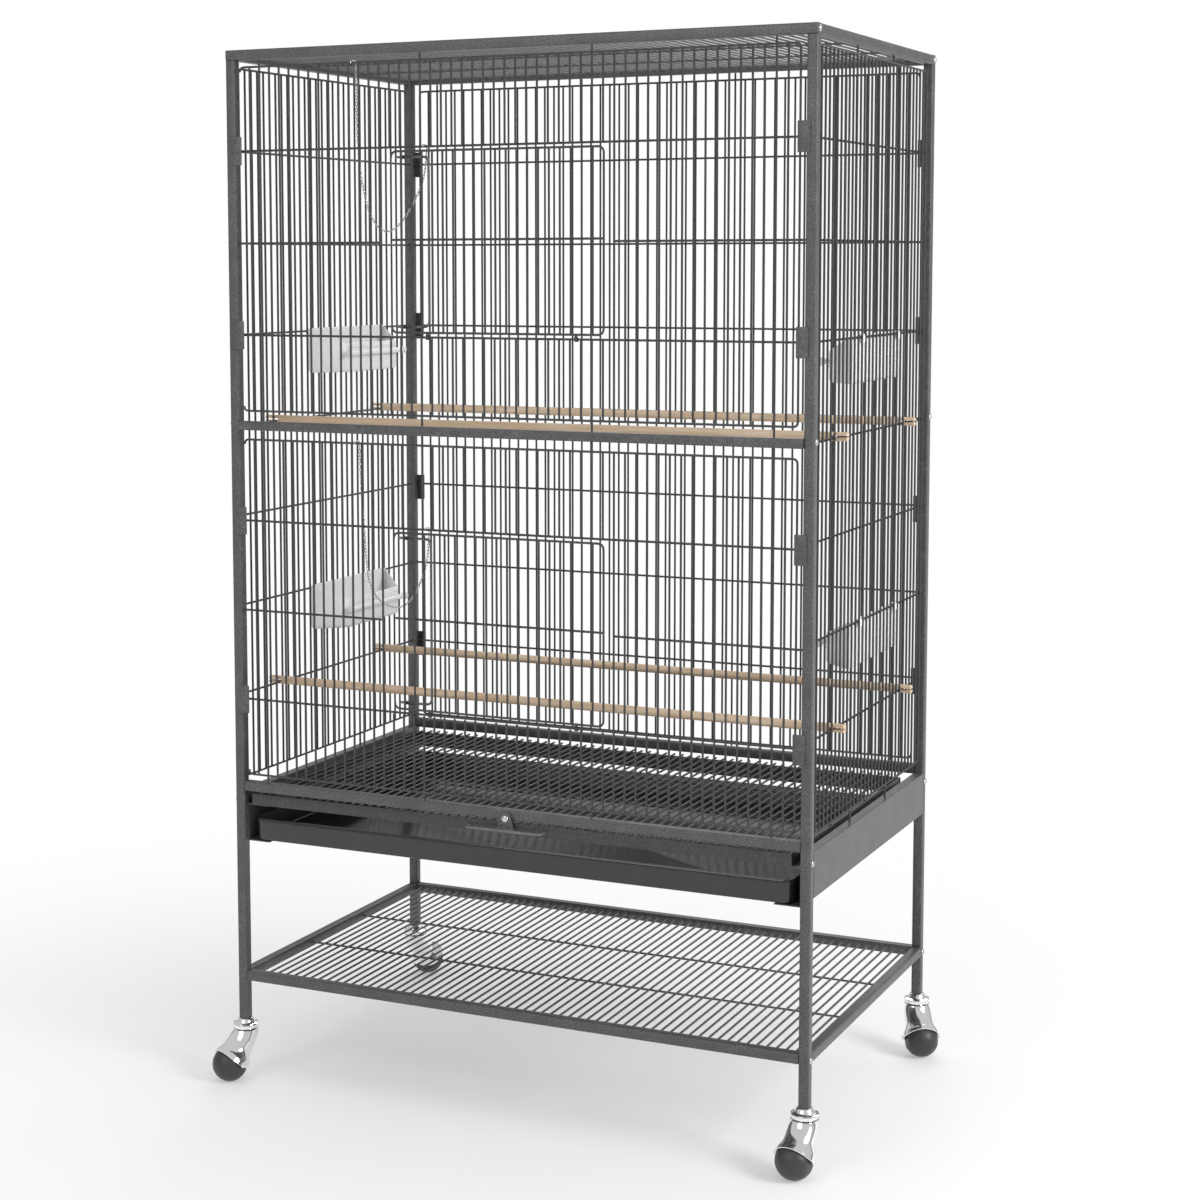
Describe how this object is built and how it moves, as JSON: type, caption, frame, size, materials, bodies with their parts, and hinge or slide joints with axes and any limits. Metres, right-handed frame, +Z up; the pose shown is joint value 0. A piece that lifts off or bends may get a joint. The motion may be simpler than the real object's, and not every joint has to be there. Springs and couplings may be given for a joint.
{
  "type": "bird cage on stand",
  "caption": "Tall wire flight cage on a rolling tube stand, with two drop-down doors, slide-out grate and tray, feeders, perches and a lower shelf",
  "frame": {"origin": "on the floor under the middle of the cage", "axes": "+Z up, +Y to the back, +X to the right seen from the doors"},
  "size_m": [0.8499, 0.575, 1.3457],
  "materials": {
    "frame_coat": "hammered powder coat, charcoal grey",
    "wire_coat": "powder-coated wire, charcoal grey",
    "bail_coat": "powder-coated wire, mid grey",
    "zinc": "bright zinc plating",
    "tray_black": "smooth black enamel, glossy inside",
    "chrome": "polished chrome",
    "wheel_plastic": "satin black nylon",
    "feeder_plastic": "white moulded plastic",
    "dowel_wood": "plain sanded light wood"
  },
  "bodies": {
    "frame": {"post_front_left": "frame_coat", "post_front_right": "frame_coat", "post_back_left": "frame_coat", "post_back_right": "frame_coat", "top_panel": "frame_coat", "mid_rail": "frame_coat", "base_rail_front": "frame_coat", "base_rail_back": "frame_coat", "base_strap_back": "frame_coat", "base_side_left": "frame_coat", "base_side_right": "frame_coat", "tray_runner_left": "frame_coat", "tray_runner_right": "frame_coat", "shelf": "frame_coat", "side_panel_left": "wire_coat", "side_panel_right": "wire_coat", "back_panel": "wire_coat", "front_panel_upper": "wire_coat", "front_panel_lower": "wire_coat", "door_chain_upper": "zinc", "door_chain_lower": "zinc", "caster_collar_front_left": "chrome", "caster_collar_front_right": "chrome", "caster_collar_back_left": "chrome", "caster_collar_back_right": "chrome", "perch_upper_front": "dowel_wood", "perch_upper_back": "dowel_wood", "perch_lower_front": "dowel_wood", "perch_lower_back": "dowel_wood"},
    "tray": {"tray": "tray_black"},
    "grate": {"grate": "wire_coat", "grate_handle": "wire_coat", "grate_latch_rivet": "zinc"},
    "latch_plate": {"grate_latch_plate": "frame_coat"},
    "door_upper": {"door_upper": "wire_coat"},
    "door_lower": {"door_lower": "wire_coat"},
    "latch_upper": {"door_latch_upper": "bail_coat"},
    "latch_lower": {"door_latch_lower": "bail_coat"},
    "feeder_upper_left": {"feeder_upper_left": "feeder_plastic"},
    "feeder_upper_right": {"feeder_upper_right": "feeder_plastic"},
    "feeder_lower_left": {"feeder_lower_left": "feeder_plastic"},
    "feeder_lower_right": {"feeder_lower_right": "feeder_plastic"},
    "swivel_front_left": {"caster_hood_front_left": "chrome"},
    "wheel_front_left": {"caster_wheel_front_left": "wheel_plastic"},
    "swivel_front_right": {"caster_hood_front_right": "chrome"},
    "wheel_front_right": {"caster_wheel_front_right": "wheel_plastic"},
    "swivel_back_left": {"caster_hood_back_left": "chrome"},
    "wheel_back_left": {"caster_wheel_back_left": "wheel_plastic"},
    "swivel_back_right": {"caster_hood_back_right": "chrome"},
    "wheel_back_right": {"caster_wheel_back_right": "wheel_plastic"}
  },
  "joints": [
    {"name": "door_upper_drop", "type": "hinge", "parent": "frame", "child": "door_upper", "pos_m": [0, -0.2408, 0.9837], "axis": [1, 0, 0], "range_deg": [0, 95]},
    {"name": "door_lower_drop", "type": "hinge", "parent": "frame", "child": "door_lower", "pos_m": [0, -0.2408, 0.5093], "axis": [1, 0, 0], "range_deg": [0, 95]},
    {"name": "latch_upper_slide", "type": "slide", "parent": "door_upper", "child": "latch_upper", "axis": [1, 0, 0], "range_m": [-0.022, 0]},
    {"name": "latch_lower_slide", "type": "slide", "parent": "door_lower", "child": "latch_lower", "axis": [1, 0, 0], "range_m": [-0.022, 0]},
    {"name": "tray_slide", "type": "slide", "parent": "frame", "child": "tray", "axis": [0, -1, 0], "range_m": [0, 0.42]},
    {"name": "grate_slide", "type": "slide", "parent": "frame", "child": "grate", "axis": [0, -1, 0], "range_m": [0, 0.4]},
    {"name": "latch_plate_turn", "type": "hinge", "parent": "grate", "child": "latch_plate", "pos_m": [0, -0.2486, 0.3895], "axis": [0, 1, 0], "range_deg": [-90, 90]},
    {"name": "feeder_upper_left_lift", "type": "slide", "parent": "frame", "child": "feeder_upper_left", "axis": [0, 0, 1], "range_m": [0, 0.02]},
    {"name": "feeder_upper_right_lift", "type": "slide", "parent": "frame", "child": "feeder_upper_right", "axis": [0, 0, 1], "range_m": [0, 0.02]},
    {"name": "feeder_lower_left_lift", "type": "slide", "parent": "frame", "child": "feeder_lower_left", "axis": [0, 0, 1], "range_m": [0, 0.02]},
    {"name": "feeder_lower_right_lift", "type": "slide", "parent": "frame", "child": "feeder_lower_right", "axis": [0, 0, 1], "range_m": [0, 0.02]},
    {"name": "swivel_front_left_turn", "type": "hinge", "parent": "frame", "child": "swivel_front_left", "pos_m": [-0.3885, -0.2385, 0.066], "axis": [0, 0, 1], "continuous": true},
    {"name": "wheel_front_left_spin", "type": "hinge", "parent": "swivel_front_left", "child": "wheel_front_left", "pos_m": [-0.39818, -0.26371, 0.023], "axis": [0.9336, -0.3584, 0], "continuous": true},
    {"name": "swivel_front_right_turn", "type": "hinge", "parent": "frame", "child": "swivel_front_right", "pos_m": [0.3885, -0.2385, 0.066], "axis": [0, 0, 1], "continuous": true},
    {"name": "wheel_front_right_spin", "type": "hinge", "parent": "swivel_front_right", "child": "wheel_front_right", "pos_m": [0.38474, -0.26524, 0.023], "axis": [0.9903, -0.1392, 0], "continuous": true},
    {"name": "swivel_back_left_turn", "type": "hinge", "parent": "frame", "child": "swivel_back_left", "pos_m": [-0.3885, 0.2385, 0.066], "axis": [0, 0, 1], "continuous": true},
    {"name": "wheel_back_left_spin", "type": "hinge", "parent": "swivel_back_left", "child": "wheel_back_left", "pos_m": [-0.38151, 0.26458, 0.023], "axis": [-0.9659, 0.2588, 0], "continuous": true},
    {"name": "swivel_back_right_turn", "type": "hinge", "parent": "frame", "child": "swivel_back_right", "pos_m": [0.3885, 0.2385, 0.066], "axis": [0, 0, 1], "continuous": true},
    {"name": "wheel_back_right_spin", "type": "hinge", "parent": "swivel_back_right", "child": "wheel_back_right", "pos_m": [0.402, 0.21512, 0.023], "axis": [0.866, 0.5, 0], "continuous": true}
  ]
}
